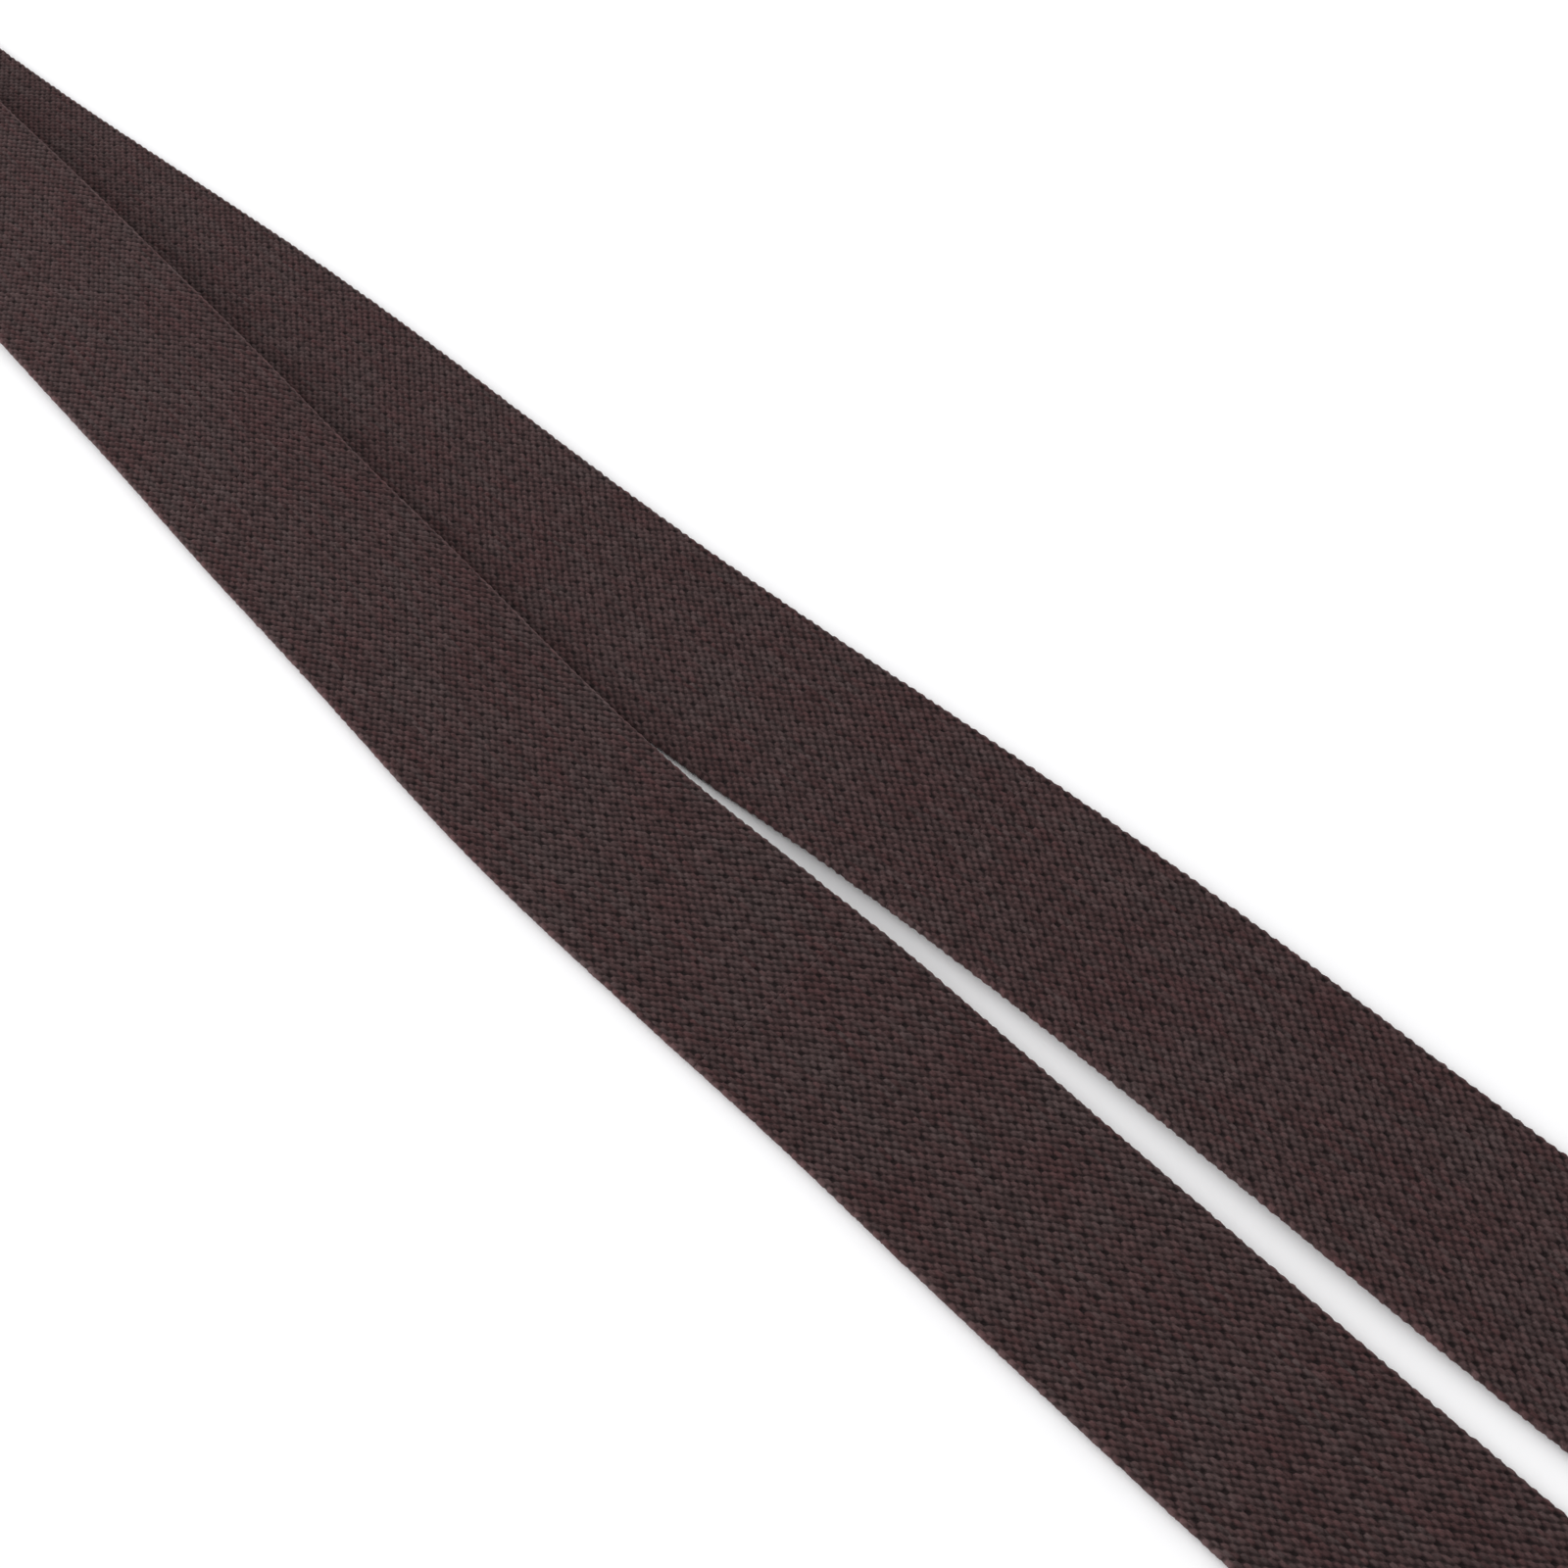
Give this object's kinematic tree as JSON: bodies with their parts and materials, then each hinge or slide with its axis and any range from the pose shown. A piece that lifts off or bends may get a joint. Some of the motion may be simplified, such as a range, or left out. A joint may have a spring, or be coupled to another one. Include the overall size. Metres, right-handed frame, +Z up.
{
  "type": "martial arts belt",
  "caption": "Dark brown woven martial arts belt, folded in half and laid flat with its runs lapped near the fold, with sewn turned-back ends and a blank label, able to fold open and flex",
  "frame": {"origin": "under the middle of the folded belt, on the surface that it lies on", "axes": "+X runs from the fold to the tips, +Y from the upper run's tail to the lower run, +Z up"},
  "size_m": [1.305, 0.09, 0.0078],
  "materials": {
    "webbing": "matt heavy plain weave in dark brown yarn with a faint red cast",
    "thread": "dark brown sewing thread, slight sheen",
    "label": "blank grey-beige woven label"
  },
  "bodies": {
    "lower_run": {"lower_run_base": "webbing", "fold_lower_half": "webbing"},
    "lower_middle": {"lower_run_middle": "webbing"},
    "lower_tail": {"lower_run_tail": "webbing", "lower_tip_hem": "webbing", "lower_tip_needle_thread": "thread", "lower_tip_bobbin_thread": "thread"},
    "upper_run": {"fold_upper_half": "webbing", "upper_run_settle": "webbing", "upper_run_lap": "webbing", "upper_run_step": "webbing", "upper_run_base": "webbing"},
    "upper_middle": {"upper_run_middle": "webbing"},
    "upper_tail": {"upper_run_tail": "webbing", "blank_label": "label", "label_needle_thread": "thread", "label_bobbin_thread": "thread", "upper_tip_hem": "webbing", "upper_tip_needle_thread": "thread", "upper_tip_bobbin_thread": "thread"}
  },
  "joints": [
    {"name": "fold", "type": "hinge", "parent": "lower_run", "child": "upper_run", "pos_m": [-0.64746, 0.025, 0.0039], "axis": [-0.0587, -0.9983, 0], "range_deg": [0, 179.9], "deforming": ["fold_upper_half", "fold_lower_half"]},
    {"name": "lower_first_flex", "type": "hinge", "parent": "lower_run", "child": "lower_middle", "pos_m": [0.02254, 0.025, 0.0024], "axis": [0, -1, 0], "range_deg": [0, 75]},
    {"name": "lower_second_flex", "type": "hinge", "parent": "lower_middle", "child": "lower_tail", "pos_m": [0.32169, 0.025, 0.0024], "axis": [0, -1, 0], "range_deg": [0, 75]},
    {"name": "upper_first_flex", "type": "hinge", "parent": "upper_run", "child": "upper_middle", "pos_m": [0.02254, -0.025, 0.0024], "axis": [0, -1, 0], "range_deg": [0, 75]},
    {"name": "upper_second_flex", "type": "hinge", "parent": "upper_middle", "child": "upper_tail", "pos_m": [0.32169, -0.025, 0.0024], "axis": [0, -1, 0], "range_deg": [0, 75]}
  ]
}
